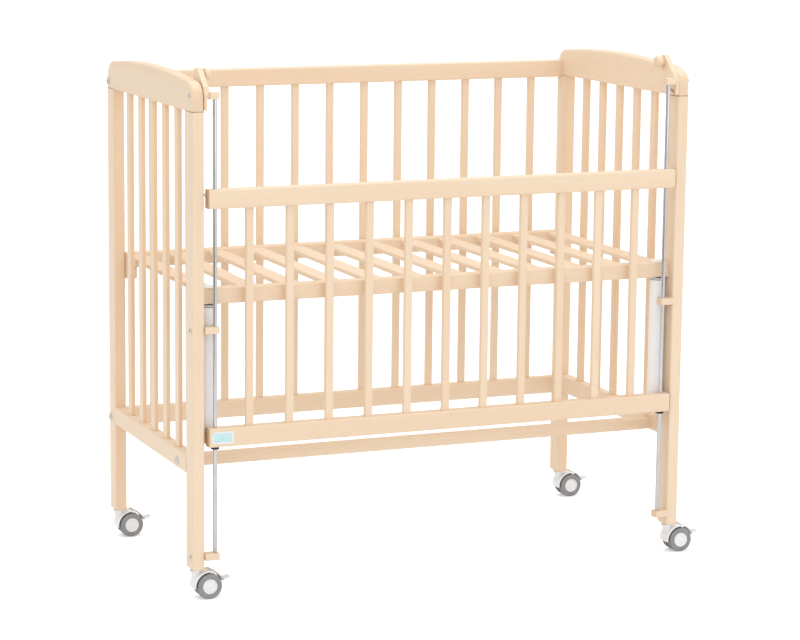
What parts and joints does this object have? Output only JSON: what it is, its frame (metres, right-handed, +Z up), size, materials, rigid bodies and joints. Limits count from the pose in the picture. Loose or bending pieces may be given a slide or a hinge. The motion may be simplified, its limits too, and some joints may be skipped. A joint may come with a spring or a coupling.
{
  "type": "bedside sleeper crib",
  "caption": "Slatted wooden bedside crib with a drop side that slides on two steel rods, latch levers, a slatted mattress base and braked twin-wheel casters.",
  "frame": {"origin": "bottom centre of the bounding box, on the floor under the casters", "axes": "+X to the right along the crib's length, +Y to the back panel, +Z up; the drop side faces -Y"},
  "size_m": [0.999, 0.4966, 0.9195],
  "materials": {
    "beech": "clear satin varnish over pale beech",
    "rod_steel": "bright drawn steel rod",
    "steel": "zinc plated steel fastenings",
    "dark_rubber": "matte black rubber",
    "tube_plastic": "light grey smooth plastic",
    "white_plastic": "white moulded plastic",
    "hub_plastic": "white moulded plastic, light texture",
    "tyre_rubber": "dark grey soft tread",
    "pedal_plastic": "grey moulded plastic"
  },
  "bodies": {
    "frame": {"back_bottom_rail": "beech", "back_slats": "beech", "back_top_rail": "beech", "base_back_rail": "beech", "base_brackets": "beech", "base_front_rail": "beech", "base_slats": "beech", "base_support_caps": "white_plastic", "base_support_rings": "dark_rubber", "base_support_tubes": "tube_plastic", "caster_stems": "steel", "end_left_back_post": "beech", "end_left_bottom_rail": "beech", "end_left_front_post": "beech", "end_left_slats": "beech", "end_left_top_rail": "beech", "end_right_back_post": "beech", "end_right_bottom_rail": "beech", "end_right_front_post": "beech", "end_right_slats": "beech", "end_right_top_rail": "beech", "frame_bolts": "steel", "front_stretcher": "beech", "guide_rods": "rod_steel", "rod_blocks": "beech", "stop_collars": "dark_rubber", "wood_screws": "steel"},
    "drop_side": {"catch_pins": "steel", "drop_bottom_rail": "beech", "drop_bushes": "hub_plastic", "drop_slats": "beech", "drop_top_rail": "beech", "label_plate": "white_plastic"},
    "latch_left": {"latch_left_lever": "beech", "latch_left_peg": "beech"},
    "latch_right": {"latch_right_lever": "beech", "latch_right_peg": "beech"},
    "caster_fl": {"caster_fl_hood": "white_plastic", "caster_fl_axle": "steel"},
    "wheels_fl": {"caster_fl_wheels": "hub_plastic", "caster_fl_tyres": "tyre_rubber"},
    "pedal_fl": {"caster_fl_pedal": "pedal_plastic"},
    "caster_fr": {"caster_fr_hood": "white_plastic", "caster_fr_axle": "steel"},
    "wheels_fr": {"caster_fr_wheels": "hub_plastic", "caster_fr_tyres": "tyre_rubber"},
    "pedal_fr": {"caster_fr_pedal": "pedal_plastic"},
    "caster_bl": {"caster_bl_hood": "white_plastic", "caster_bl_axle": "steel"},
    "wheels_bl": {"caster_bl_wheels": "hub_plastic", "caster_bl_tyres": "tyre_rubber"},
    "pedal_bl": {"caster_bl_pedal": "pedal_plastic"},
    "caster_br": {"caster_br_hood": "white_plastic", "caster_br_axle": "steel"},
    "wheels_br": {"caster_br_wheels": "hub_plastic", "caster_br_tyres": "tyre_rubber"},
    "pedal_br": {"caster_br_pedal": "pedal_plastic"}
  },
  "joints": [
    {"name": "drop_side_slide", "type": "slide", "parent": "frame", "child": "drop_side", "axis": [0, 0, 1], "range_m": [0, 0.15]},
    {"name": "latch_left_turn", "type": "hinge", "parent": "frame", "child": "latch_left", "pos_m": [-0.4698, -0.2302, 0.875], "axis": [-1, 0, 0], "range_deg": [0, 28]},
    {"name": "latch_right_turn", "type": "hinge", "parent": "frame", "child": "latch_right", "pos_m": [0.4218, -0.2302, 0.875], "axis": [-1, 0, 0], "range_deg": [0, 28]},
    {"name": "caster_fl_swivel", "type": "hinge", "parent": "frame", "child": "caster_fl", "pos_m": [-0.4855, -0.22045, 0.045], "axis": [0, 0, 1], "continuous": true},
    {"name": "wheels_fl_roll", "type": "hinge", "parent": "caster_fl", "child": "wheels_fl", "pos_m": [-0.464, -0.22045, 0.0225], "axis": [0, 1, 0], "continuous": true},
    {"name": "pedal_fl_press", "type": "hinge", "parent": "caster_fl", "child": "pedal_fl", "pos_m": [-0.4595, -0.22045, 0.04801], "axis": [0, 1, 0], "range_deg": [0, 4]},
    {"name": "caster_fr_swivel", "type": "hinge", "parent": "frame", "child": "caster_fr", "pos_m": [0.4375, -0.22045, 0.045], "axis": [0, 0, 1], "continuous": true},
    {"name": "wheels_fr_roll", "type": "hinge", "parent": "caster_fr", "child": "wheels_fr", "pos_m": [0.459, -0.22045, 0.0225], "axis": [0, 1, 0], "continuous": true},
    {"name": "pedal_fr_press", "type": "hinge", "parent": "caster_fr", "child": "pedal_fr", "pos_m": [0.4635, -0.22045, 0.04801], "axis": [0, 1, 0], "range_deg": [0, 4]},
    {"name": "caster_bl_swivel", "type": "hinge", "parent": "frame", "child": "caster_bl", "pos_m": [-0.4855, 0.23005, 0.045], "axis": [0, 0, 1], "continuous": true},
    {"name": "wheels_bl_roll", "type": "hinge", "parent": "caster_bl", "child": "wheels_bl", "pos_m": [-0.464, 0.23005, 0.0225], "axis": [0, 1, 0], "continuous": true},
    {"name": "pedal_bl_press", "type": "hinge", "parent": "caster_bl", "child": "pedal_bl", "pos_m": [-0.4595, 0.23005, 0.04801], "axis": [0, 1, 0], "range_deg": [0, 4]},
    {"name": "caster_br_swivel", "type": "hinge", "parent": "frame", "child": "caster_br", "pos_m": [0.4375, 0.23005, 0.045], "axis": [0, 0, 1], "continuous": true},
    {"name": "wheels_br_roll", "type": "hinge", "parent": "caster_br", "child": "wheels_br", "pos_m": [0.459, 0.23005, 0.0225], "axis": [0, 1, 0], "continuous": true},
    {"name": "pedal_br_press", "type": "hinge", "parent": "caster_br", "child": "pedal_br", "pos_m": [0.4635, 0.23005, 0.04801], "axis": [0, 1, 0], "range_deg": [0, 4]}
  ]
}
